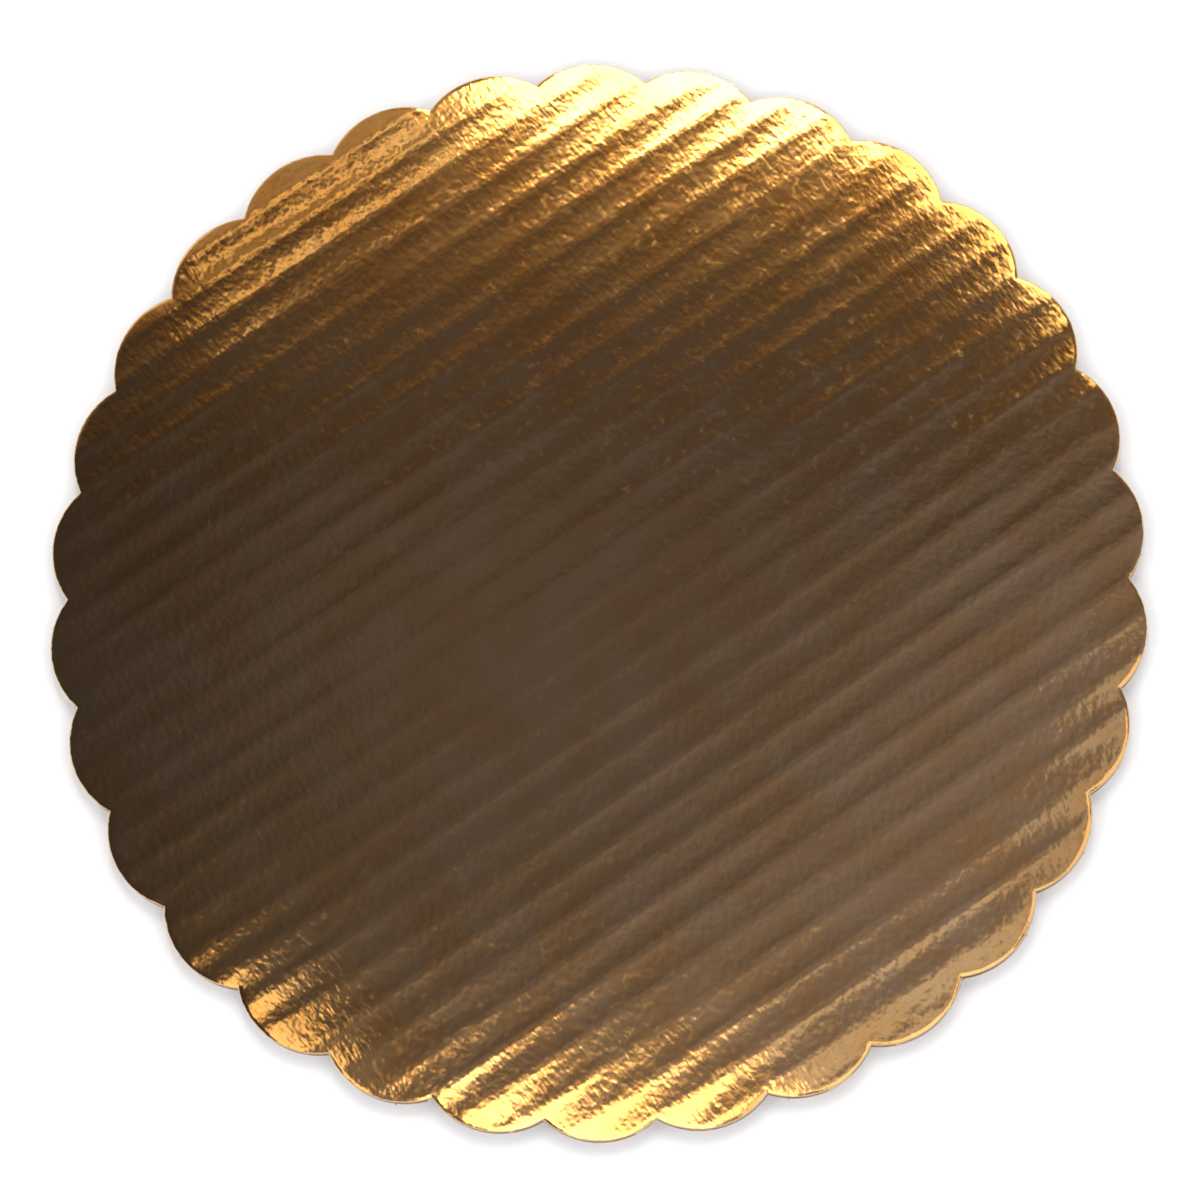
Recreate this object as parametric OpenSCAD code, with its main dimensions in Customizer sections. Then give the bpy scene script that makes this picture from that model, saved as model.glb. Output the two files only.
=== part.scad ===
// Scalloped cake board: single-wall corrugated board with a gold foil face, die-cut to a scalloped circle.
// The origin is at the centre of the underside, and +Z points up through the gold face.

/* [Outline] */
// Diameter of the circle that touches the scallop crests
board_d = 254; // [180:1:360]
// Number of scallops round the edge
scallop_count = 30; // [20:2:40]
// How far a scallop's crest stands out past its notches
scallop_depth = 4.3; // [3:0.1:7]

/* [Flutes] */
// Distance from one flute tip to the next
flute_pitch = 8.2; // [6:0.1:10]
// Height of the wavy paper from its lowest to its highest point
medium_h = 3.4; // [2.4:0.1:4.6]
// Direction in which the flutes run, counterclockwise from +X
flute_angle = 33.5; // [0:0.5:90]
// How far the middle flute's upper tip is from the board's centre, square to the flutes
flute_shift = -2.2; // [-4:0.1:4]

/* [Papers and foil] */
// Thickness of the bottom liner
bottom_liner_t = 0.28; // [0.2:0.01:0.5]
// Thickness of the wavy paper
medium_t = 0.2; // [0.14:0.01:0.3]
// Thickness of the top liner
top_liner_t = 0.25; // [0.2:0.01:0.5]
// Thickness of the adhesive film under the foil
adhesive_t = 0.02; // [0.02:0.01:0.06]
// Thickness of the gold foil
foil_t = 0.03; // [0.02:0.01:0.08]
// How far the top liner sinks between two flute tips
liner_sag = 0.015; // [0.005:0.005:0.3]

/* [Starch lines] */
// Width of a starch line, which is also the width over which it holds a liner flat
glue_w = 1.4; // [1:0.1:2]
// Thickness of a starch line at a flute's tip
glue_t = 0.04; // [0.02:0.01:0.08]

/* [Hidden] */
$fn = 96;

// Straight pieces in one flute of the wavy paper, and in one sag of the top liner
medium_steps = 16;
sag_steps = 8;

// Heights at which the layers start, from the underside up
lower_glue_z = bottom_liner_t;
medium_z = lower_glue_z + glue_t;
medium_mid_z = medium_z + medium_h / 2;
medium_top_z = medium_z + medium_h;
top_liner_z = medium_top_z + glue_t;
adhesive_z = top_liner_z + top_liner_t;
foil_z = adhesive_z + adhesive_t;
board_h = foil_z + foil_t;

// A scallop is an arc through two neighbouring notches and the crest between them
board_r = board_d / 2;
notch_r = board_r - scallop_depth;
scallop_step = 360 / scallop_count;
half_chord = notch_r * sin(scallop_step / 2);
chord_r = notch_r * cos(scallop_step / 2);
scallop_rise = board_r - chord_r;
scallop_r = (half_chord * half_chord + scallop_rise * scallop_rise) / (2 * scallop_rise);
scallop_centre_r = board_r - scallop_r;
core_r = (scallop_centre_r + chord_r) / 2;

// Flutes on each side of the middle one, so that the layers reach past the outline before it is cut
side_flutes = ceil(board_r / flute_pitch) + 1;
// Starch lines on each side of the middle one, as far out as the notches
side_lines = floor(notch_r / flute_pitch - 1 / 2);
amplitude = (medium_h - medium_t) / 2;

function reversed(list) = [for (i = [len(list) - 1 : -1 : 0]) list[i]];

// A point on the wavy paper's middle line, and the direction square to it there
function wave_point(x) = [x, medium_mid_z + amplitude * cos(360 * x / flute_pitch)];
function wave_slope(x) = -amplitude * 2 * PI / flute_pitch * sin(360 * x / flute_pitch);
function wave_normal(x) = [-wave_slope(x), 1] / norm([-wave_slope(x), 1]);

// One face of the wavy paper, offset from its middle line
function wave_face(offset) = [
    for (i = [-side_flutes * medium_steps : side_flutes * medium_steps])
        let (x = i * flute_pitch / medium_steps)
            wave_point(x) + offset * wave_normal(x)
];

// A line that lies flat over each starch line and hangs in a parabola between them
function sagging_line(z) = [
    for (k = [-side_flutes : side_flutes - 1])
        for (j = [0 : sag_steps])
            let (t = j / sag_steps)
                [
                    k * flute_pitch + glue_w / 2 + (flute_pitch - glue_w) * t,
                    z - liner_sag * 4 * t * (1 - t)
                ]
];

// The outline that the die cuts
module outline() {
    circle(r = core_r);
    for (i = [0 : scallop_count - 1])
        rotate((i + 1 / 2) * scallop_step)
            translate([scallop_centre_r, 0])
                circle(r = scallop_r);
}

// Draws a flat profile out along the flutes and cuts it to the outline
module along_flutes() {
    intersection() {
        rotate(flute_angle)
            rotate([90, 0, 90])
                translate([0, 0, -board_d])
                    linear_extrude(2 * board_d)
                        translate([flute_shift, 0])
                            children();
        linear_extrude(board_h)
            outline();
    }
}

// A sheet of even thickness that sinks between the flutes
module sagging_sheet(z, thickness) {
    along_flutes()
        polygon(concat(sagging_line(z + thickness), reversed(sagging_line(z))));
}

// Upright strips as wide as a starch line, each centred on a multiple of the pitch plus the offset
module line_strips(first, last, offset, z, height) {
    for (k = [first : last])
        translate([k * flute_pitch + offset - glue_w / 2, z])
            square([glue_w, height]);
}

module bottom_liner() {
    color("burlywood")
        linear_extrude(bottom_liner_t)
            outline();
}

module lower_glue_lines() {
    color("wheat")
        along_flutes()
            difference() {
                line_strips(
                    -side_lines - 1, side_lines, flute_pitch / 2,
                    lower_glue_z, medium_mid_z - lower_glue_z
                );
                polygon(concat(
                    wave_face(-medium_t / 2),
                    [[side_flutes * flute_pitch, board_h], [-side_flutes * flute_pitch, board_h]]
                ));
            }
}

module fluted_medium() {
    color("peru")
        along_flutes()
            polygon(concat(wave_face(medium_t / 2), reversed(wave_face(-medium_t / 2))));
}

module upper_glue_lines() {
    color("wheat")
        along_flutes()
            difference() {
                line_strips(-side_lines, side_lines, 0, medium_mid_z, top_liner_z - medium_mid_z);
                polygon(concat(
                    wave_face(medium_t / 2),
                    [[side_flutes * flute_pitch, 0], [-side_flutes * flute_pitch, 0]]
                ));
            }
}

module top_liner() {
    color("tan")
        sagging_sheet(top_liner_z, top_liner_t);
}

module foil_adhesive() {
    color("ivory")
        sagging_sheet(adhesive_z, adhesive_t);
}

module gold_foil() {
    color("goldenrod")
        sagging_sheet(foil_z, foil_t);
}

bottom_liner();
lower_glue_lines();
fluted_medium();
upper_glue_lines();
top_liner();
foil_adhesive();
gold_foil();
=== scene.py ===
"""Scalloped gold cake board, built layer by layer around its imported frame.

The board is single-wall corrugated: a kraft bottom liner, a wavy medium held by starch lines, a top
liner, a film of laminating adhesive and a gold-lacquered foil. Each layer is cut from one plan and then
pressed into shape by a node tree, so that the layers stay nested. Lengths are in metres.
"""

import logging
import math
from collections.abc import Iterable, Mapping
from dataclasses import dataclass, field
from enum import Enum
from functools import reduce

import bpy
import numpy as np
from mathutils import Matrix, Vector
from mathutils.geometry import delaunay_2d_cdt


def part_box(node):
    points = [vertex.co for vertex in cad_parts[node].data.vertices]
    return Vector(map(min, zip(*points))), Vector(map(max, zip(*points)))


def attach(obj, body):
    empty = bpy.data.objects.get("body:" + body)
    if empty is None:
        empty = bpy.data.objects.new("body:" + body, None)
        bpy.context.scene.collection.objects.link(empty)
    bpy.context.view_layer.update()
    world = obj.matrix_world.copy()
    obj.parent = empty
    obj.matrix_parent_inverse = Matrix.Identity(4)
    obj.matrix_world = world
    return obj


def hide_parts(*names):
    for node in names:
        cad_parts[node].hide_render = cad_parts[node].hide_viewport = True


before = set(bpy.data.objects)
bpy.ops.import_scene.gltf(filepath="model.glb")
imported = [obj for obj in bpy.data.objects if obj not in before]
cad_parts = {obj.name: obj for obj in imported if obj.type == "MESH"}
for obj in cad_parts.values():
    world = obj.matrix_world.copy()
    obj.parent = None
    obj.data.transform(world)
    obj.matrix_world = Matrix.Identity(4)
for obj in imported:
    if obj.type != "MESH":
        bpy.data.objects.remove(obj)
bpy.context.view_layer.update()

LOG = logging.getLogger("cake_board")
MM = 0.001
FULL_TURN = 2 * math.pi
ROOT_BODY = "root"

# Numbers that each point of a piece carries for its tree and its finish.
EDGE_DISTANCE = "edge_distance"
SIDE = "side"
BEAD_END = "bead_end"

FLOAT = "NodeSocketFloat"
VECTOR = "NodeSocketVector"
GEOMETRY = "NodeSocketGeometry"
MATERIAL = "NodeSocketMaterial"

Socket = bpy.types.NodeSocket
Source = Socket | float | int | str | bool | tuple
Rgba = tuple[float, float, float, float]
Rgb = tuple[float, float, float]


class Face(Enum):
    """Which side of the medium a layer is on, as the direction in which a sheet there sags."""

    UPPER = -1.0
    LOWER = 1.0

    @property
    def line_shift(self) -> float:
        """How many pitches its starch lines are from the middle flute's upper tip."""
        return 0.0 if self is Face.UPPER else 0.5


# ----------------------------------------------------------------------------------------------------
# Node wiring


@dataclass(frozen=True)
class Ramp:
    """A smooth change from a low to a high level, as a value goes from start to end."""

    start: float
    end: float
    low: float
    high: float


# Nearly all of a noise's values lie between these two.
NOISE_LOW = 0.3
NOISE_HIGH = 0.7
NOISE_MEAN = 0.5


class Wiring:
    """Adds nodes to one tree and joins them up."""

    def __init__(self, tree: bpy.types.NodeTree) -> None:
        """Works on the given tree.

        Args:
            tree: A shader, world or geometry node tree, or a group.
        """
        self.tree = tree

    def feed(self, socket: Socket, source: Source) -> None:
        """Joins a source to an input, or sets its value.

        Args:
            socket: The input.
            source: An output socket, or a plain value.
        """
        if isinstance(source, Socket):
            self.tree.links.new(source, socket)
        else:
            socket.default_value = source

    def add(
        self, kind: str, inputs: Mapping[int | str, Source] | None = None, **settings: object
    ) -> bpy.types.Node:
        """Adds one node.

        Args:
            kind: The node's type name.
            inputs: What goes into its inputs, by name or number.
            **settings: The node's own properties.

        Returns:
            The new node.
        """
        node = self.tree.nodes.new(kind)
        for name, value in settings.items():
            setattr(node, name, value)
        for key, source in (inputs or {}).items():
            self.feed(node.inputs[key], source)
        return node

    def math(self, operation: str, *terms: Source) -> Socket:
        """Adds a Math node and returns its result.

        Args:
            operation: The node's operation, such as SINE.
            *terms: Its inputs, in order.

        Returns:
            The node's result.
        """
        return self.add("ShaderNodeMath", dict(enumerate(terms)), operation=operation).outputs[0]

    def plus(self, first: Source, second: Source) -> Socket:
        """Adds two numbers."""
        return self.math("ADD", first, second)

    def minus(self, first: Source, second: Source) -> Socket:
        """Takes the second number from the first."""
        return self.math("SUBTRACT", first, second)

    def times(self, *factors: Source) -> Socket:
        """Multiplies numbers."""
        return reduce(lambda product, factor: self.math("MULTIPLY", product, factor), factors)

    def over(self, first: Source, second: Source) -> Socket:
        """Divides the first number by the second."""
        return self.math("DIVIDE", first, second)

    def combine(self, x: Source, y: Source, z: Source) -> Socket:
        """Makes a vector of three numbers."""
        return self.add("ShaderNodeCombineXYZ", {0: x, 1: y, 2: z}).outputs[0]

    def parts(self, vector: Source) -> tuple[Socket, Socket, Socket]:
        """Takes a vector apart into its three numbers."""
        return tuple(self.add("ShaderNodeSeparateXYZ", {0: vector}).outputs)

    def scaled(self, vector: Source, factor: Source) -> Socket:
        """Multiplies a vector or colour by one number."""
        inputs = {0: vector, "Scale": factor}
        return self.add("ShaderNodeVectorMath", inputs, operation="SCALE").outputs[0]

    def stretched(self, vector: Source, scale: Rgb, turn: float = 0.0) -> Socket:
        """Stretches places axis by axis, and then turns them about Z.

        Args:
            vector: The places.
            scale: The factor along each axis.
            turn: The angle in radians.

        Returns:
            The stretched places.
        """
        inputs = {"Vector": vector, "Rotation": (0.0, 0.0, turn), "Scale": scale}
        return self.add("ShaderNodeMapping", inputs).outputs[0]

    def remap(self, value: Source, low: float, high: float, to_low: Source, to_high: Source) -> Socket:
        """Maps a range of values to another one, smoothly and clamped.

        Args:
            value: What is mapped.
            low: The range's start.
            high: The range's end.
            to_low: The result at the start.
            to_high: The result at the end.

        Returns:
            The mapped value.
        """
        inputs = {"Value": value, "From Min": low, "From Max": high, "To Min": to_low, "To Max": to_high}
        node = self.add("ShaderNodeMapRange", inputs, interpolation_type="SMOOTHSTEP")
        return node.outputs["Result"]

    def ramp(self, value: Source, ramp: Ramp) -> Socket:
        """Reads a ramp at a value."""
        return self.remap(value, ramp.start, ramp.end, ramp.low, ramp.high)

    def spread(self, noise: Source, low: float, high: float) -> Socket:
        """Spreads a noise's usual values over a range."""
        return self.remap(noise, NOISE_LOW, NOISE_HIGH, low, high)

    def blend(self, factor: Source, first: Source, second: Source) -> Socket:
        """Mixes two colours."""
        node = self.add("ShaderNodeMix", {0: factor, 6: first, 7: second}, data_type="RGBA")
        return node.outputs[2]

    def noise(
        self, vector: Source, scale: Source, detail: float = 2.0, roughness: float = 0.5,
        distortion: float = 0.0,
    ) -> Socket:
        """Adds a Noise Texture and returns its value, about 0.5 on average.

        Args:
            vector: Where the texture is read.
            scale: Its scale.
            detail: Its number of octaves.
            roughness: How strong the finer octaves are.
            distortion: How far it swirls.

        Returns:
            The texture's value.
        """
        inputs = {
            "Vector": vector, "Scale": scale, "Detail": detail, "Roughness": roughness,
            "Distortion": distortion,
        }
        return self.add("ShaderNodeTexNoise", inputs).outputs[0]


def new_group(
    name: str, kind: str, inputs: Mapping[str, tuple[str, object]], outputs: Mapping[str, str]
) -> tuple[Wiring, bpy.types.NodeOutputs, bpy.types.NodeInputs]:
    """Starts a node group with named inputs and outputs.

    Args:
        name: The group's name.
        kind: The tree's type, such as ShaderNodeTree.
        inputs: For each input, its socket type and its value.
        outputs: For each output, its socket type.

    Returns:
        The group's wiring, what it is given, and where its results go.
    """
    tree = bpy.data.node_groups.new(name, kind)
    for label, (socket_type, value) in inputs.items():
        socket = tree.interface.new_socket(label, in_out="INPUT", socket_type=socket_type)
        if value is not None:
            socket.default_value = value
    for label, socket_type in outputs.items():
        tree.interface.new_socket(label, in_out="OUTPUT", socket_type=socket_type)
    wiring = Wiring(tree)
    return wiring, wiring.add("NodeGroupInput").outputs, wiring.add("NodeGroupOutput").inputs


# ----------------------------------------------------------------------------------------------------
# The board's plan


@dataclass(frozen=True)
class BoardPlan:
    """The board's outline, flutes and heights."""

    radius: float
    height: float
    scallops: int = 30
    scallop_depth: float = 4.3 * MM
    flute_pitch: float = 8.2 * MM
    flute_angle: float = math.radians(33.5)
    flute_shift: float = -2.2 * MM
    starch_width: float = 1.4 * MM
    sag: float = 0.015 * MM

    @classmethod
    def from_frame(cls) -> "BoardPlan":
        """Takes the board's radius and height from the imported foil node."""
        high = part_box("gold_foil")[1]
        return cls(radius=high[1], height=high[2])

    @property
    def step(self) -> float:
        """The angle from one scallop to the next."""
        return FULL_TURN / self.scallops

    @property
    def notch_radius(self) -> float:
        """How far the notches are from the board's centre."""
        return self.radius - self.scallop_depth

    @property
    def arc_radius(self) -> float:
        """The radius of a scallop's arc, which passes through two notches and the crest between."""
        half_chord = self.notch_radius * math.sin(self.step / 2)
        rise = self.radius - self.notch_radius * math.cos(self.step / 2)
        return (half_chord**2 + rise**2) / (2 * rise)

    @property
    def arc_reach(self) -> float:
        """How far the centre of a scallop's arc is from the board's centre."""
        return self.radius - self.arc_radius

    @property
    def arc_half_angle(self) -> float:
        """Half the angle that a scallop's arc covers."""
        return math.asin(self.notch_radius * math.sin(self.step / 2) / self.arc_radius)

    @property
    def flutes_each_side(self) -> int:
        """How many flutes lie on each side of the middle one."""
        return math.ceil(self.radius / self.flute_pitch)

    @property
    def flute_values(self) -> dict[str, float]:
        """The flutes' sizes, by the labels of the press trees' inputs."""
        return {
            "Flute Angle": self.flute_angle, "Flute Shift": self.flute_shift, "Flute Pitch": self.flute_pitch,
        }

    @staticmethod
    def polar(reach: float | np.ndarray, angle: float | np.ndarray) -> np.ndarray:
        """Turns distances and angles into places."""
        return np.stack((reach * np.cos(angle), reach * np.sin(angle)), axis=-1)

    def arc_centre(self, scallop: int) -> np.ndarray:
        """The centre of a scallop's arc."""
        return self.polar(self.arc_reach, (scallop + 0.5) * self.step)

    def notch(self, index: int) -> np.ndarray:
        """A notch's place, counted from the one on +X."""
        return self.polar(self.notch_radius, index * self.step)

    def outline(self, inset: float, spacing: float) -> np.ndarray:
        """Points on the line that runs at an even distance inside the outline.

        Args:
            inset: The distance from the outline.
            spacing: About how far apart the points are.

        Returns:
            The points, counterclockwise.
        """
        runs = []
        arc_steps = max(4, round(2 * self.arc_half_angle * self.arc_radius / spacing))
        notch_steps = max(2, math.ceil(inset / spacing)) if inset else 0
        for scallop in range(self.scallops):
            middle = (scallop + 0.5) * self.step
            ends = middle - self.arc_half_angle, middle + self.arc_half_angle
            centre = self.arc_centre(scallop)
            arc = np.linspace(*ends, arc_steps + 1)[:-1]
            runs.append(centre + self.polar(self.arc_radius - inset, arc))
            notch = self.notch(scallop + 1)
            start = centre - notch
            end = self.arc_centre(scallop + 1) - notch
            start_angle = math.atan2(start[1], start[0])
            turn = (math.atan2(end[1], end[0]) - start_angle + math.pi) % FULL_TURN - math.pi
            corner = start_angle + turn * np.linspace(0, 1, notch_steps + 1)[:-1]
            if inset:
                runs.append(notch + self.polar(inset, corner))
        return np.concatenate(runs)

    def distance_inside(self, points: np.ndarray) -> np.ndarray:
        """How far points are from the outline.

        Args:
            points: Places on the board's plane, one in each row.

        Returns:
            Each point's distance from the outline, or less than 0 outside it.
        """
        scallop = np.floor(np.arctan2(points[:, 1], points[:, 0]) % FULL_TURN / self.step)
        nearest = np.full(len(points), np.inf)
        for shift in (-1, 0, 1):
            middle = (scallop + shift + 0.5) * self.step
            offset = points - self.polar(self.arc_reach, middle)
            bearing = np.arctan2(offset[:, 1], offset[:, 0])
            turn = (bearing - middle + math.pi) % FULL_TURN - math.pi
            to_arc = self.arc_radius - np.hypot(offset[:, 0], offset[:, 1])
            on_arc = np.abs(turn) <= self.arc_half_angle
            nearest = np.where(on_arc, np.minimum(nearest, to_arc), nearest)
            notch = self.polar(self.notch_radius, (scallop + shift + 1) * self.step)
            nearest = np.minimum(nearest, np.hypot(*(points - notch).T))
        return nearest

    def to_board(self, along: np.ndarray, across: np.ndarray) -> np.ndarray:
        """Turns places along and across the flutes into places on the board."""
        cosine, sine = math.cos(self.flute_angle), math.sin(self.flute_angle)
        return np.stack((along * cosine - across * sine, along * sine + across * cosine), axis=-1)

    def chords(self, across: float) -> list[tuple[float, float]]:
        """The stretches of a line along the flutes that lie on the board.

        Args:
            across: How far the line is from the board's centre.

        Returns:
            Each stretch's start and end along the line.
        """
        discs = [(0.0, 0.0, self.notch_radius * math.cos(self.step / 2))]
        for scallop in range(self.scallops):
            place = self.polar(self.arc_reach, (scallop + 0.5) * self.step - self.flute_angle)
            discs.append((*place, self.arc_radius))
        spans = []
        for along, height, radius in discs:
            if abs(across - height) < radius:
                half = math.sqrt(radius**2 - (across - height) ** 2)
                spans.append((along - half, along + half))
        merged: list[tuple[float, float]] = []
        for start, end in sorted(spans):
            if merged and start <= merged[-1][1]:
                merged[-1] = (merged[-1][0], max(end, merged[-1][1]))
            else:
                merged.append((start, end))
        return merged


# The triangulation works in millimetres. It joins points that are nearer than this, and keeps only
# what lies inside the outline.
MERGE_WITHIN = 1e-7
KEEP_INSIDE = 1
# Grid lines that agree to this many decimals of a metre are one line.
GRID_DECIMALS = 7


@dataclass(frozen=True)
class Cut:
    """How finely a flat sheet is divided before it is pressed."""

    stations: tuple[float, ...]
    row: float
    insets: tuple[float, ...]
    edge_spacing: float
    wall_rings: int = 0
    wall_bulge: float = 0.0

    def sheet(self, plan: BoardPlan, name: str) -> bpy.types.Object:
        """Makes a closed flat sheet in the board's outline, with both faces at height 0.

        The lower face is at side 0 and the upper face at side 1, and every point knows its distance
        from the edge.

        Args:
            plan: The board's plan.
            name: The new object's name.

        Returns:
            The sheet.
        """
        rings = [plan.outline(inset, self.edge_spacing) for inset in self.insets]
        edge_count = len(rings[0])
        flutes = range(-plan.flutes_each_side - 1, plan.flutes_each_side + 2)
        across = {
            round(plan.flute_shift + flute * plan.flute_pitch + sign * station, GRID_DECIMALS)
            for flute in flutes
            for station in self.stations
            for sign in (-1, 1)
        }
        rows = math.ceil(plan.radius / self.row)
        along = np.arange(-rows, rows + 1) * self.row
        grid = np.array([(a, c) for c in sorted(across) for a in along])
        inner = plan.to_board(grid[:, 0], grid[:, 1])
        clear = self.insets[-1] + self.edge_spacing / 2
        inner = inner[np.hypot(inner[:, 0], inner[:, 1]) < plan.radius - clear]
        inner = inner[plan.distance_inside(inner) > clear]
        flat = np.concatenate(rings + [inner])
        vertices = [Vector(point) for point in (flat / MM).tolist()]
        outline = [list(range(edge_count))]
        result = delaunay_2d_cdt(vertices, [], outline, KEEP_INSIDE, MERGE_WITHIN)
        points = np.array([tuple(v) for v in result[0]]) * MM
        return self._closed(name, plan, points, np.array(result[2]), edge_count)

    def _closed(
        self, name: str, plan: BoardPlan, points: np.ndarray, faces: np.ndarray, edge_count: int
    ) -> bpy.types.Object:
        """Joins a lower face, an upper face and a wall round the edge into one closed mesh.

        Args:
            name: The new object's name.
            plan: The board's plan.
            points: The flat sheet's points, with the outline's first.
            faces: Its triangles, facing up.
            edge_count: How many points the outline has.

        Returns:
            The closed sheet.
        """
        count = len(points)
        edge = points[:edge_count]
        outward = edge / np.linalg.norm(edge, axis=1, keepdims=True)
        levels = [(k + 1) / (self.wall_rings + 1) for k in range(self.wall_rings)]
        walls = [edge + outward * self.wall_bulge * math.sin(math.pi * level) for level in levels]
        every = np.concatenate([points, points] + walls)
        rings = [np.full(edge_count, level) for level in levels]
        side = np.concatenate([np.zeros(count), np.ones(count)] + rings)
        polygons = [tuple(reversed(face)) for face in faces.tolist()]
        polygons += [tuple(face) for face in (faces + count).tolist()]
        starts = [0] + [2 * count + k * edge_count for k in range(self.wall_rings)] + [count]
        for low, high in zip(starts, starts[1:]):
            for i in range(edge_count):
                j = (i + 1) % edge_count
                polygons.append((low + i, low + j, high + j, high + i))
        mesh = bpy.data.meshes.new(name)
        mesh.from_pydata([(x, y, 0.0) for x, y in every.tolist()], [], polygons)
        distance = np.maximum(plan.distance_inside(every), 0.0)
        for label, values in ((EDGE_DISTANCE, distance), (SIDE, side)):
            layer = mesh.attributes.new(label, "FLOAT", "POINT")
            layer.data.foreach_set("value", values.astype(np.float32))
        return stand(name, mesh)


def stand(name: str, data: bpy.types.ID) -> bpy.types.Object:
    """Puts an object with the given data into the scene.

    Args:
        name: The object's name.
        data: Its mesh, lamp or camera.

    Returns:
        The new object.
    """
    placed = bpy.data.objects.new(name, data)
    bpy.context.scene.collection.objects.link(placed)
    return placed


# ----------------------------------------------------------------------------------------------------
# Pressing: geometry node trees


@dataclass(frozen=True)
class FluteGrain:
    """A noise whose patches are longer along the flutes than across them."""

    patches_along: float
    patches_across: float
    slice_height: float
    detail: float = 2.0

    def read(self, wiring: Wiring, along: Source, across: Source) -> Socket:
        """Reads the noise.

        Args:
            wiring: The tree that reads it.
            along: The place along the flutes.
            across: The place across them.

        Returns:
            The noise's value.
        """
        x = wiring.times(along, self.patches_along)
        y = wiring.times(across, self.patches_across)
        return wiring.noise(wiring.combine(x, y, self.slice_height), 1.0, self.detail)


SAG_GRAIN = FluteGrain(28.0, 90.0, 3.7)
COCKLE_GRAIN = FluteGrain(70.0, 210.0, 8.1)
LEAN_GRAIN = FluteGrain(40.0, 120.0, 1.9, detail=1.0)

# The least and the most that a sheet sags in this model, as multiples of the plan's sag.
SAG_LEAST = 0.7
SAG_MOST = 2.1
# How softly a sheet bends away from a starch line.
BEND_EASE = 0.35 * MM
# The least and the most that the edge is crushed, and that a bead is wide, as shares of their usual size.
CRUSH_LEAST = 0.5
CRUSH_MOST = 1.5
BEAD_NARROWEST = 0.75
BEAD_WIDEST = 1.2

FLUTE_INPUTS = {"Flute Angle": (FLOAT, 0.0), "Flute Shift": (FLOAT, 0.0), "Flute Pitch": (FLOAT, 1.0)}
LAYER_INPUTS = {"Geometry": (GEOMETRY, None), "Material": (MATERIAL, None)}


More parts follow.
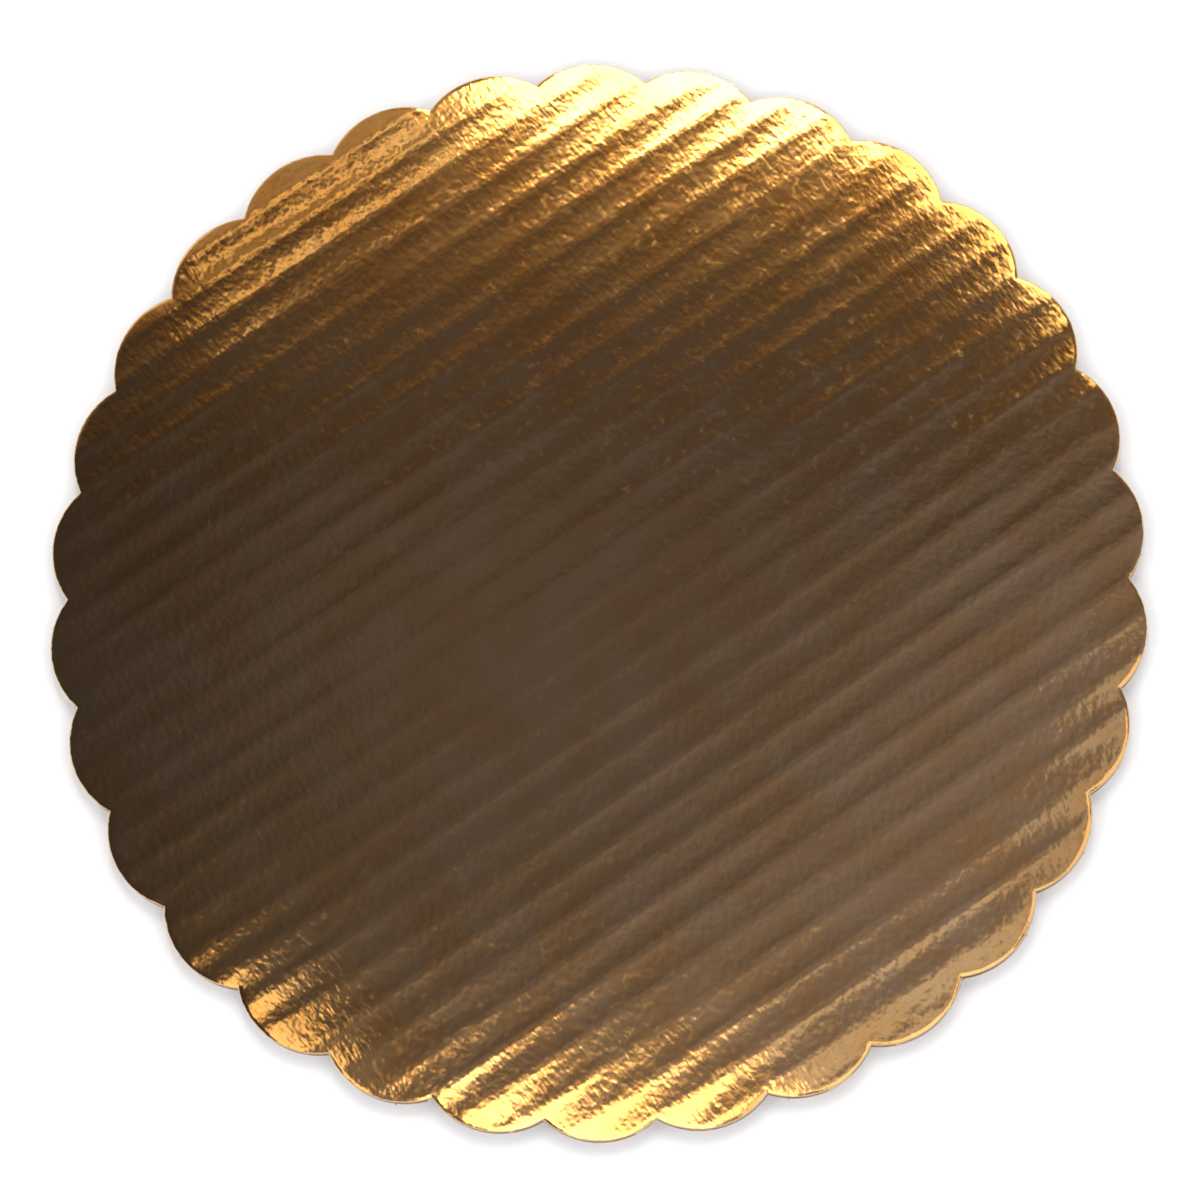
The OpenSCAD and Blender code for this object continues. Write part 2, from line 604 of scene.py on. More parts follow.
class PressShop:
    """Builds the node trees that press flat sheets into the board's layers, and runs them."""

    def __init__(self, plan: BoardPlan, materials: Mapping[str, bpy.types.Material]) -> None:
        """Builds the shared field groups and the three trees.

        Args:
            plan: The board's plan.
            materials: The finishes, by the record's slot name.
        """
        self.plan = plan
        self.materials = materials
        self.across_group = self._across_group()
        self.crush_group = self._crush_group()
        self.washboard = self._washboard_tree()
        self.wave = self._wave_tree()
        self.beads = self._bead_tree()

    @staticmethod
    def _across_group() -> bpy.types.NodeTree:
        """Makes the group that measures how far a place is along and across the flutes.

        Returns:
            The group.
        """
        labels = {"Flute Angle": (FLOAT, 0.0), "Flute Shift": (FLOAT, 0.0)}
        outputs = {"Along": FLOAT, "Across": FLOAT}
        wiring, given, results = new_group("Across Flutes", "GeometryNodeTree", labels, outputs)
        x, y, _ = wiring.parts(wiring.add("GeometryNodeInputPosition").outputs[0])
        cosine = wiring.math("COSINE", given["Flute Angle"])
        sine = wiring.math("SINE", given["Flute Angle"])
        along = wiring.plus(wiring.times(x, cosine), wiring.times(y, sine))
        across = wiring.minus(wiring.times(y, cosine), wiring.times(x, sine))
        wiring.feed(results["Along"], along)
        wiring.feed(results["Across"], wiring.minus(across, given["Flute Shift"]))
        return wiring.tree

    @staticmethod
    def _crush_group() -> bpy.types.NodeTree:
        """Makes the group that says how far the die has pressed the edge down.

        The result is a share of the height: a sharp lip at the edge and a wide shallow skirt.

        Returns:
            The group.
        """
        labels = {
            "Edge Distance": (FLOAT, 0.0),
            "Lip Width": (FLOAT, 0.4 * MM), "Lip Share": (FLOAT, 0.01),
            "Skirt Width": (FLOAT, 3.0 * MM), "Skirt Share": (FLOAT, 0.004),
            "Patch Scale": (FLOAT, 45.0),
        }
        wiring, given, results = new_group("Edge Crush", "GeometryNodeTree", labels, {"Share": FLOAT})
        place = wiring.add("GeometryNodeInputPosition").outputs[0]
        uneven = wiring.spread(wiring.noise(place, given["Patch Scale"]), CRUSH_LEAST, CRUSH_MOST)
        total: Source = 0.0
        for zone in ("Lip", "Skirt"):
            reach = wiring.over(given["Edge Distance"], given[f"{zone} Width"])
            fall = wiring.math("EXPONENT", wiring.times(reach, reach, -1.0))
            total = wiring.plus(total, wiring.times(fall, given[f"{zone} Share"]))
        wiring.feed(results["Share"], wiring.times(total, uneven))
        return wiring.tree

    def _crushed(self, wiring: Wiring, geometry: Source, distance_name: str) -> Socket:
        """Presses a layer down near the edge, in proportion to its height.

        Args:
            wiring: The layer's tree.
            geometry: The layer.
            distance_name: The attribute that holds each point's distance from the edge.

        Returns:
            The pressed layer.
        """
        distance = {"Edge Distance": self._attribute(wiring, distance_name)}
        crush = wiring.add("GeometryNodeGroup", distance, node_tree=self.crush_group)
        height = wiring.parts(wiring.add("GeometryNodeInputPosition").outputs[0])[2]
        offset = wiring.combine(0.0, 0.0, wiring.times(height, crush.outputs["Share"], -1.0))
        return self._moved(wiring, geometry, offset)

    def _flute_place(self, wiring: Wiring, given: bpy.types.NodeOutputs) -> tuple[Socket, Socket]:
        """Measures each point's place along the flutes, and across them from the middle ridge.

        Args:
            wiring: The layer's tree.
            given: The tree's inputs.

        Returns:
            The place along the flutes and the place across them.
        """
        inputs = {label: given[label] for label in ("Flute Angle", "Flute Shift")}
        flutes = wiring.add("GeometryNodeGroup", inputs, node_tree=self.across_group)
        return flutes.outputs["Along"], flutes.outputs["Across"]

    @staticmethod
    def _moved(wiring: Wiring, geometry: Source, offset: Source) -> Socket:
        """Moves each point of a layer by its own offset."""
        inputs = {"Geometry": geometry, "Offset": offset}
        return wiring.add("GeometryNodeSetPosition", inputs).outputs[0]

    @staticmethod
    def _finished(wiring: Wiring, geometry: Source, material: Source) -> Socket:
        """Ends a tree with Realize Instances, smooth faces and Set Material."""
        real = wiring.add("GeometryNodeRealizeInstances", {"Geometry": geometry}).outputs[0]
        smooth = wiring.add("GeometryNodeSetShadeSmooth", {"Geometry": real}).outputs[0]
        return wiring.add("GeometryNodeSetMaterial", {"Geometry": smooth, "Material": material}).outputs[0]

    @staticmethod
    def _attribute(wiring: Wiring, name: str) -> Socket:
        """Reads a number stored on each point."""
        return wiring.add("GeometryNodeInputNamedAttribute", {"Name": name}, data_type="FLOAT").outputs[0]

    def _washboard_tree(self) -> bpy.types.NodeTree:
        """Makes the tree for a liner or foil, which is flat on its starch lines and sags between.

        Returns:
            The tree.
        """
        labels = LAYER_INPUTS | FLUTE_INPUTS | {
            "Line Shift": (FLOAT, 0.0), "Starch Width": (FLOAT, 0.0), "Sag": (FLOAT, 0.0),
            "Sag Side": (FLOAT, -1.0), "Level": (FLOAT, 0.0), "Thickness": (FLOAT, 0.0),
            "Cockle": (FLOAT, 0.0),
        }
        wiring, given, results = new_group(
            "Washboard Sheet", "GeometryNodeTree", labels, {"Geometry": GEOMETRY}
        )
        along, across = self._flute_place(wiring, given)
        turns = wiring.minus(wiring.over(across, given["Flute Pitch"]), given["Line Shift"])
        nearest = wiring.minus(turns, wiring.math("ROUND", turns))
        from_line = wiring.times(wiring.math("ABSOLUTE", nearest), given["Flute Pitch"])
        off_line = wiring.minus(from_line, wiring.times(given["Starch Width"], 0.5))
        eased = wiring.math("SMOOTH_MAX", off_line, 0.0, BEND_EASE)
        share = wiring.over(eased, wiring.minus(given["Flute Pitch"], given["Starch Width"]))
        parabola = wiring.times(share, 4.0, wiring.minus(1.0, share))
        uneven = wiring.spread(SAG_GRAIN.read(wiring, along, across), SAG_LEAST, SAG_MOST)
        sag = wiring.times(parabola, given["Sag"], uneven)
        ripple = wiring.minus(COCKLE_GRAIN.read(wiring, along, across), NOISE_MEAN)
        cockle = wiring.times(ripple, given["Cockle"], parabola)
        relief = wiring.times(wiring.plus(sag, cockle), given["Sag Side"])
        side = self._attribute(wiring, SIDE)
        level = wiring.plus(given["Level"], wiring.times(given["Thickness"], side))
        lift = wiring.combine(0.0, 0.0, wiring.plus(level, relief))
        pressed = self._moved(wiring, given["Geometry"], lift)
        crushed = self._crushed(wiring, pressed, EDGE_DISTANCE)
        wiring.feed(results["Geometry"], self._finished(wiring, crushed, given["Material"]))
        return wiring.tree

    def _wave_tree(self) -> bpy.types.NodeTree:
        """Makes the tree for the fluted medium, a sheet of even thickness that follows a wave.

        Returns:
            The tree.
        """
        labels = LAYER_INPUTS | FLUTE_INPUTS | {
            "Amplitude": (FLOAT, 0.0), "Middle": (FLOAT, 0.0), "Thickness": (FLOAT, 0.0),
            "Unevenness": (FLOAT, 0.0),
        }
        wiring, given, results = new_group(
            "Wavy Medium", "GeometryNodeTree", labels, {"Geometry": GEOMETRY}
        )
        along, across = self._flute_place(wiring, given)
        turn = wiring.over(FULL_TURN, given["Flute Pitch"])
        grain = LEAN_GRAIN.read(wiring, along, across)
        lean = wiring.times(wiring.minus(grain, NOISE_MEAN), given["Unevenness"])
        phase = wiring.times(across, turn)
        flank = wiring.math("SINE", phase)
        leaning = wiring.times(lean, flank, wiring.math("ABSOLUTE", flank))
        wave = wiring.times(wiring.math("COSINE", phase), given["Amplitude"])
        slope = wiring.times(flank, given["Amplitude"], turn)
        length = wiring.math("SQRT", wiring.plus(wiring.times(slope, slope), 1.0))
        off_middle = wiring.minus(self._attribute(wiring, SIDE), 0.5)
        reach = wiring.over(wiring.times(off_middle, given["Thickness"]), length)
        height = wiring.plus(wiring.plus(given["Middle"], wave), reach)
        sideways = wiring.plus(wiring.times(reach, slope), leaning)
        cosine = wiring.math("COSINE", given["Flute Angle"])
        sine = wiring.math("SINE", given["Flute Angle"])
        offset = wiring.combine(wiring.times(sideways, sine, -1.0), wiring.times(sideways, cosine), height)
        pressed = self._moved(wiring, given["Geometry"], offset)
        crushed = self._crushed(wiring, pressed, EDGE_DISTANCE)
        wiring.feed(results["Geometry"], self._finished(wiring, crushed, given["Material"]))
        return wiring.tree

    def _bead_tree(self) -> bpy.types.NodeTree:
        """Makes the tree that sweeps a flat bead of starch along each line.

        Returns:
            The tree.
        """
        labels = LAYER_INPUTS | {
            "Width": (FLOAT, 1.0 * MM), "Height": (FLOAT, 0.2 * MM), "Point Spacing": (FLOAT, 2.0 * MM),
            "Patch Scale": (FLOAT, 100.0),
        }
        wiring, given, results = new_group(
            "Starch Beads", "GeometryNodeTree", labels, {"Geometry": GEOMETRY}
        )
        line = wiring.add("GeometryNodeMeshToCurve", {0: given["Geometry"]}).outputs[0]
        spacing = {"Curve": line, "Length": given["Point Spacing"]}
        fine = wiring.add("GeometryNodeResampleCurve", spacing, mode="LENGTH").outputs[0]
        upright = wiring.add("GeometryNodeSetCurveNormal", {"Curve": fine}, mode="Z_UP").outputs[0]
        place = wiring.add("GeometryNodeInputPosition").outputs[0]
        width = wiring.spread(wiring.noise(place, given["Patch Scale"]), BEAD_NARROWEST, BEAD_WIDEST)
        so_far = wiring.add("GeometryNodeSplineParameter").outputs["Length"]
        whole = wiring.add("GeometryNodeSplineLength").outputs["Length"]
        end = wiring.math("MINIMUM", so_far, wiring.minus(whole, so_far))
        marked = wiring.add(
            "GeometryNodeStoreNamedAttribute", {"Geometry": upright, "Name": BEAD_END, "Value": end},
            data_type="FLOAT", domain="POINT",
        ).outputs[0]
        ring = wiring.add("GeometryNodeCurvePrimitiveCircle", {"Resolution": 8, "Radius": 0.5}).outputs[0]
        size = wiring.combine(given["Width"], given["Height"], 1.0)
        oval = wiring.add("GeometryNodeTransform", {"Geometry": ring, "Scale": size}).outputs[0]
        sweep = {"Curve": marked, "Profile Curve": oval, "Scale": width, "Fill Caps": True}
        swept = wiring.add("GeometryNodeCurveToMesh", sweep).outputs[0]
        crushed = self._crushed(wiring, swept, BEAD_END)
        wiring.feed(results["Geometry"], self._finished(wiring, crushed, given["Material"]))
        return wiring.tree

    @staticmethod
    def press(
        blank: bpy.types.Object, tree: bpy.types.NodeTree, values: Mapping[str, object],
        sharp_angle: float = math.radians(40.0),
    ) -> bpy.types.Object:
        """Runs a tree on a blank and keeps the result as a plain mesh.

        Args:
            blank: What goes into the tree. It is used up.
            tree: The tree.
            values: The tree's inputs, by label.
            sharp_angle: The least angle between faces whose shared edge stays sharp.

        Returns:
            The finished piece.
        """
        modifier = blank.modifiers.new("press", "NODES")
        modifier.node_group = tree
        for item in tree.interface.items_tree:
            if item.item_type == "SOCKET" and item.in_out == "INPUT" and item.name in values:
                modifier[item.identifier] = values[item.name]
        pressed = blank.evaluated_get(bpy.context.evaluated_depsgraph_get())
        mesh = bpy.data.meshes.new_from_object(pressed)
        blank.modifiers.remove(modifier)
        old = blank.data
        blank.data = mesh
        bpy.data.meshes.remove(old)
        mesh.name = blank.name
        mesh.shade_smooth()
        mesh.set_sharp_from_angle(angle=sharp_angle)
        return blank


# ----------------------------------------------------------------------------------------------------
# Finishes: shader node groups and materials


# Patches a metre along each axis. Fibres and flecks are long along X, and threads lie across it.
FIBRE_SCALE = (260.0, 2600.0, 900.0)
FLECK_SCALE = (300.0, 1400.0, 900.0)
THREAD_SCALE = (780.0, 260.0, 600.0)
# How much closer together the pebbles are along each axis.
PEBBLE_STRETCH = (1.2, 0.9, 1.0)
# The directions of the paper's fibres, in degrees, and how much each one shows.
FIBRE_TURNS = ((8.0, 0.4), (-24.0, 0.3), (47.0, 0.3))


class FinishGroups:
    """The effects that more than one finish uses, each as a shader node group."""

    def __init__(self) -> None:
        """Builds every group once."""
        self.fibres = self._fibres()
        self.edge_wear = self._edge_wear()
        self.grain = self._grain()

    @staticmethod
    def _fibres() -> bpy.types.NodeTree:
        """Makes the group for paper fibres: a felt of long thin streaks that lie mostly one way.

        Returns:
            The group.
        """
        labels = {
            "Vector": (VECTOR, (0.0, 0.0, 0.0)), "Density": (FLOAT, 1.0), "Fleck Amount": (FLOAT, 0.5),
            "Cloud Scale": (FLOAT, 120.0),
        }
        outputs = {"Felt": FLOAT, "Flecks": FLOAT, "Cloud": FLOAT}
        wiring, given, results = new_group("Paper Fibres", "ShaderNodeTree", labels, outputs)
        spot = wiring.scaled(given["Vector"], given["Density"])
        felt: Source = 0.0
        for turn, weight in FIBRE_TURNS:
            laid = wiring.stretched(spot, FIBRE_SCALE, math.radians(turn))
            felt = wiring.plus(felt, wiring.times(wiring.noise(laid, 1.0, 2.0, 0.6, 0.35), weight))
        fleck = wiring.noise(wiring.stretched(spot, FLECK_SCALE), 1.0, 1.0, 0.5, 0.8)
        wiring.feed(results["Felt"], felt)
        wiring.feed(results["Flecks"], wiring.remap(fleck, 0.66, 0.74, 0.0, given["Fleck Amount"]))
        wiring.feed(results["Cloud"], wiring.noise(spot, given["Cloud Scale"], 3.0, 0.55))
        return wiring.tree

    @staticmethod
    def _edge_wear() -> bpy.types.NodeTree:
        """Makes the group for wear along the die-cut edge.

        Returns:
            The group.
        """
        labels = {
            "Vector": (VECTOR, (0.0, 0.0, 0.0)), "Reach": (FLOAT, 0.5 * MM), "Raggedness": (FLOAT, 0.5),
            "Rag Scale": (FLOAT, 700.0),
        }
        wiring, given, results = new_group("Edge Wear", "ShaderNodeTree", labels, {"Wear": FLOAT})
        distance = wiring.add("ShaderNodeAttribute", attribute_name=EDGE_DISTANCE).outputs["Fac"]
        rags = wiring.noise(given["Vector"], given["Rag Scale"], 3.0, 0.65)
        shift = wiring.times(wiring.minus(rags, NOISE_MEAN), 4.0, given["Raggedness"])
        share = wiring.plus(wiring.over(distance, given["Reach"]), shift)
        wiring.feed(results["Wear"], wiring.remap(share, 0.5, 1.0, 1.0, 0.0))
        return wiring.tree

    @staticmethod
    def _grain() -> bpy.types.NodeTree:
        """Makes the group for the grain of foil over paper: soft pebbles with fibres across them.

        Returns:
            The group.
        """
        labels = {
            "Vector": (VECTOR, (0.0, 0.0, 0.0)), "Pebble Scale": (FLOAT, 560.0),
            "Fibre Share": (FLOAT, 0.35), "Patch Scale": (FLOAT, 55.0),
        }
        outputs = {"Height": FLOAT, "Patch": FLOAT}
        wiring, given, results = new_group("Foil Grain", "ShaderNodeTree", labels, outputs)
        spot, share = given["Vector"], given["Fibre Share"]
        pebble = wiring.noise(wiring.stretched(spot, PEBBLE_STRETCH), given["Pebble Scale"], 1.0)
        thread = wiring.noise(wiring.stretched(spot, THREAD_SCALE), 1.0, 1.0, 0.5, 0.4)
        pebbles = wiring.times(pebble, wiring.minus(1.0, share))
        wiring.feed(results["Height"], wiring.plus(pebbles, wiring.times(thread, share)))
        wiring.feed(results["Patch"], wiring.noise(spot, given["Patch Scale"], 3.0, 0.6))
        return wiring.tree


@dataclass(frozen=True)
class Finish:
    """What every finish starts from."""

    name: str
    flute_angle: float

    def start(self) -> tuple[bpy.types.Material, Wiring, bpy.types.NodeInputs, Socket]:
        """Starts the material.

        Returns:
            The material, its wiring, its Principled shader's inputs, and places turned so that X
            runs along the flutes.
        """
        material, wiring, shader = blank_material(self.name)
        place = wiring.add("ShaderNodeTexCoord").outputs["Object"]
        turned = wiring.stretched(place, (1.0, 1.0, 1.0), -self.flute_angle)
        return material, wiring, shader, turned

    @staticmethod
    def bump(
        wiring: Wiring, shader: bpy.types.NodeInputs, height: Source, reach: float, strength: float
    ) -> None:
        """Gives the surface a fine relief.

        Args:
            wiring: The material's wiring.
            shader: The Principled shader's inputs.
            height: The relief, from 0 to 1.
            reach: How high it is.
            strength: How strongly it shows.
        """
        relief = wiring.add("ShaderNodeBump", {"Strength": strength, "Distance": reach, "Height": height})
        wiring.feed(shader["Normal"], relief.outputs[0])


def blank_material(name: str) -> tuple[bpy.types.Material, Wiring, bpy.types.NodeInputs]:
    """Makes a material that still has only its Principled shader.

    Args:
        name: The material's name.

    Returns:
        The material, its wiring and its Principled shader's inputs.
    """
    material = bpy.data.materials.new(name)
    material.use_nodes = True
    nodes = material.node_tree.nodes
    shader = next(node for node in nodes if node.type == "BSDF_PRINCIPLED")
    return material, Wiring(material.node_tree), shader.inputs


@dataclass(frozen=True)
class GoldFoilFinish(Finish):
    """Gold-lacquered foil: bright metal, pebbled by the paper under it, scuffed, worn at the cut."""

    gold: Rgba = (0.94, 0.51, 0.15, 1.0)
    deep_gold: Rgba = (0.91, 0.45, 0.11, 1.0)
    bared_paper: Rgba = (0.50, 0.38, 0.22, 1.0)
    smooth: float = 0.065
    scuffed: float = 0.15
    worn: float = 0.4
    scuff_scale: float = 420.0
    grain_height: float = 0.022 * MM
    wear_reach: float = 0.25 * MM
    wear_raggedness: float = 0.6
    relief_strength: float = 1.0
    coat_weight: float = 0.15
    coat_roughness: float = 0.07

    def build(self, groups: FinishGroups) -> bpy.types.Material:
        """Makes the material.

        Args:
            groups: The shared effects.

        Returns:
            The material.
        """
        material, wiring, shader, place = self.start()
        grain = wiring.add("ShaderNodeGroup", {"Vector": place}, node_tree=groups.grain).outputs
        edge = {"Vector": place, "Reach": self.wear_reach, "Raggedness": self.wear_raggedness}
        wear = wiring.add("ShaderNodeGroup", edge, node_tree=groups.edge_wear).outputs["Wear"]
        tone = wiring.remap(grain["Patch"], 0.35, 0.65, 0.0, 1.0)
        metal = wiring.blend(tone, self.gold, self.deep_gold)
        wiring.feed(shader["Base Color"], wiring.blend(wear, metal, self.bared_paper))
        scuffs = wiring.noise(place, self.scuff_scale, 4.0, 0.7)
        dull = wiring.remap(scuffs, 0.5, 0.85, 0.0, 1.0)
        rough = wiring.plus(self.smooth, wiring.times(dull, self.scuffed - self.smooth))
        wiring.feed(shader["Roughness"], wiring.plus(rough, wiring.times(wear, self.worn)))
        wiring.feed(shader["Metallic"], wiring.minus(1.0, wear))
        self.bump(wiring, shader, grain["Height"], self.grain_height, self.relief_strength)
        shader["Coat Weight"].default_value = self.coat_weight
        shader["Coat Roughness"].default_value = self.coat_roughness
        return material


@dataclass(frozen=True)
class PaperFinish(Finish):
    """Uncoated brown paper: felted fibres, darker and paler flecks, and a soft cloudy tone."""

    pale: Rgba
    dark: Rgba
    fleck: Rgba
    roughness: float = 0.85
    fibre_height: float = 0.03 * MM
    density: float = 1.0
    fleck_amount: float = 0.6
    cloud_share: float = 0.2
    cut_paleness: float = 0.45
    roughness_spread: float = 0.3
    relief_strength: float = 0.8
    specular: float = 0.25

    def build(self, groups: FinishGroups) -> bpy.types.Material:
        """Makes the material.

        Args:
            groups: The shared effects.

        Returns:
            The material.
        """
        material, wiring, shader, place = self.start()
        sheet = {"Vector": place, "Density": self.density, "Fleck Amount": self.fleck_amount}
        paper = wiring.add("ShaderNodeGroup", sheet, node_tree=groups.fibres).outputs
        wear = wiring.add("ShaderNodeGroup", {"Vector": place}, node_tree=groups.edge_wear).outputs["Wear"]
        felt = wiring.times(paper["Felt"], 1.0 - self.cloud_share)
        tone = wiring.plus(felt, wiring.times(paper["Cloud"], self.cloud_share))
        base = wiring.blend(wiring.remap(tone, 0.38, 0.62, 0.0, 1.0), self.dark, self.pale)
        flecked = wiring.blend(paper["Flecks"], base, self.fleck)
        cut = wiring.blend(wiring.times(wear, self.cut_paleness), flecked, self.pale)
        wiring.feed(shader["Base Color"], cut)
        unevenness = wiring.times(wiring.minus(tone, NOISE_MEAN), self.roughness_spread)
        wiring.feed(shader["Roughness"], wiring.plus(self.roughness, unevenness))
        self.bump(wiring, shader, paper["Felt"], self.fibre_height, self.relief_strength)
        shader["Specular IOR Level"].default_value = self.specular
        return material


@dataclass(frozen=True)
class GlueFinish(Finish):
    """Dried adhesive: slightly glossy, uneven in tone, with small pits."""

    pale: Rgba
    dark: Rgba
    roughness: float = 0.45
    pit_scale: float = 1500.0
    pit_depth: float = 0.02 * MM
    density: float = 1.4
    roughness_spread: float = 0.3
    relief_strength: float = 0.6

    def build(self, groups: FinishGroups) -> bpy.types.Material:
        """Makes the material.

        Args:
            groups: The shared effects.

        Returns:
            The material.
        """
        material, wiring, shader, place = self.start()
        film = {"Vector": place, "Density": self.density}
        cloud = wiring.add("ShaderNodeGroup", film, node_tree=groups.fibres).outputs["Cloud"]
        pits = wiring.noise(place, self.pit_scale)
        tone = wiring.remap(cloud, 0.35, 0.65, 0.0, 1.0)
        wiring.feed(shader["Base Color"], wiring.blend(tone, self.pale, self.dark))
        unevenness = wiring.times(pits, self.roughness_spread)
        wiring.feed(shader["Roughness"], wiring.plus(self.roughness, unevenness))
        self.bump(wiring, shader, pits, self.pit_depth, self.relief_strength)
        return material


# ----------------------------------------------------------------------------------------------------
# Sub-assemblies


@dataclass
class Layer:
    """One layer of the board, which stands for a node of the frame."""

    shop: PressShop
    node: str
    slot: str

    def build(self) -> bpy.types.Object:
        """Makes the layer's piece, in a way that each kind of layer has for itself."""
        raise NotImplementedError

    def finish(
        self, blank: bpy.types.Object, tree: bpy.types.NodeTree, values: Mapping[str, object]
    ) -> bpy.types.Object:
        """Presses a blank, and puts the piece on its body, in its slot and in its node's place.

        Args:
            blank: What goes into the tree.
            tree: The tree that presses it.
            values: The tree's inputs, by label.

        Returns:
            The finished piece.
        """
        values = {**values, "Material": self.shop.materials[self.slot]}
        piece = self.shop.press(blank, tree, values)
        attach(piece, ROOT_BODY)
        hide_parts(self.node)
        LOG.info("%s: %d faces, stands for %s", piece.name, len(piece.data.polygons), self.node)
        return piece


@dataclass
class PressedSheet(Layer):
    """A liner, adhesive film or foil: a flat sheet pressed over the starch lines."""

    face: Face
    cut: Cut
    level: float
    thickness: float
    cockle: float = 0.006 * MM

    def build(self) -> bpy.types.Object:
        """Cuts and presses the sheet.

        Returns:
            The finished sheet.
        """
        plan = self.shop.plan
        values = plan.flute_values | {
            "Line Shift": self.face.line_shift,
            "Starch Width": plan.starch_width,
            "Sag": plan.sag,
            "Sag Side": self.face.value,
            "Level": self.level,
            "Thickness": self.thickness,
            "Cockle": self.cockle,
        }
        return self.finish(self.cut.sheet(plan, f"{self.node}_sheet"), self.shop.washboard, values)


@dataclass
class FlutedMedium(Layer):
    """The wavy paper between the liners."""

    cut: Cut
    low: float
    high: float
    thickness: float = 0.2 * MM
    unevenness: float = 0.5 * MM

    def build(self) -> bpy.types.Object:
        """Cuts and corrugates the paper.

        Returns:
            The finished medium.
        """
        plan = self.shop.plan
        values = plan.flute_values | {
            "Amplitude": (self.high - self.low - self.thickness) / 2,
            "Middle": (self.high + self.low) / 2,
            "Thickness": self.thickness,
            "Unevenness": self.unevenness,
        }
        return self.finish(self.cut.sheet(plan, f"{self.node}_wave"), self.shop.wave, values)


@dataclass
class StarchLines(Layer):
    """The starch beads that join the flute tips to one liner."""

    face: Face
    liner_height: float
    setback: float = 0.07 * MM
    bead_height: float = 0.17 * MM
    point_spacing: float = 2.5 * MM
    patch_scale: float = 160.0
    end_gap: float = 0.25 * MM
    shortest: float = 3.0 * MM

    def _lines(self) -> Iterable[tuple[float, float, float]]:
        """Finds every line's place across the flutes and its two ends.

        Yields:
            The place across, the start and the end.
        """
        plan = self.shop.plan
        for flute in range(-plan.flutes_each_side - 1, plan.flutes_each_side + 1):
            across = plan.flute_shift + (flute + self.face.line_shift) * plan.flute_pitch
            for start, end in plan.chords(across):
                if end - start > self.shortest:
                    yield across, start + self.end_gap, end - self.end_gap

    def build(self) -> bpy.types.Object:
        """Lays the beads.

        Returns:
            All the beads, as one piece.
        """
        plan = self.shop.plan
        height = self.liner_height + self.face.value * self.setback
        points, edges = [], []
        for across, start, end in self._lines():
            ends = plan.to_board(np.array((start, end)), np.array((across, across)))
            edges.append((len(points), len(points) + 1))
            points += [(x, y, height) for x, y in ends.tolist()]
        mesh = bpy.data.meshes.new(f"{self.node}_beads")
        mesh.from_pydata(points, edges, [])
        values = {
            "Width": plan.starch_width,
            "Height": self.bead_height,
            "Point Spacing": self.point_spacing,
            "Patch Scale": self.patch_scale,
        }
        return self.finish(stand(mesh.name, mesh), self.shop.beads, values)


def millimetres(*sizes: float) -> tuple[float, ...]:
    """Turns sizes in millimetres into metres."""
    return tuple(MM * size for size in sizes)


# Stations across half a flute, finest beside the starch line where a sheet bends, and rings that run
# inside the outline, finest at the edge.
FOIL_STATIONS = millimetres(0.0, 0.45, 0.75, 1.1, 1.7, 2.5, 3.3, 4.1)
LINER_STATIONS = millimetres(0.0, 0.7, 1.7, 2.9, 4.1)
WAVE_STATIONS = millimetres(0.0, 0.35, 0.7, 1.1, 1.6, 2.05, 2.5, 3.0, 3.4, 3.75, 4.1)
SHEET_INSETS = millimetres(0.0, 0.12, 0.3, 0.6, 1.0, 1.6, 2.3)
WAVE_INSETS = millimetres(0.0, 0.4, 1.2)

FOIL_CUT = Cut(FOIL_STATIONS, 3.0 * MM, SHEET_INSETS, 0.8 * MM)
LINER_CUT = Cut(LINER_STATIONS, 5.0 * MM, SHEET_INSETS, 1.0 * MM, wall_rings=2, wall_bulge=0.04 * MM)
WAVE_CUT = Cut(WAVE_STATIONS, 5.0 * MM, WAVE_INSETS, 0.5 * MM)


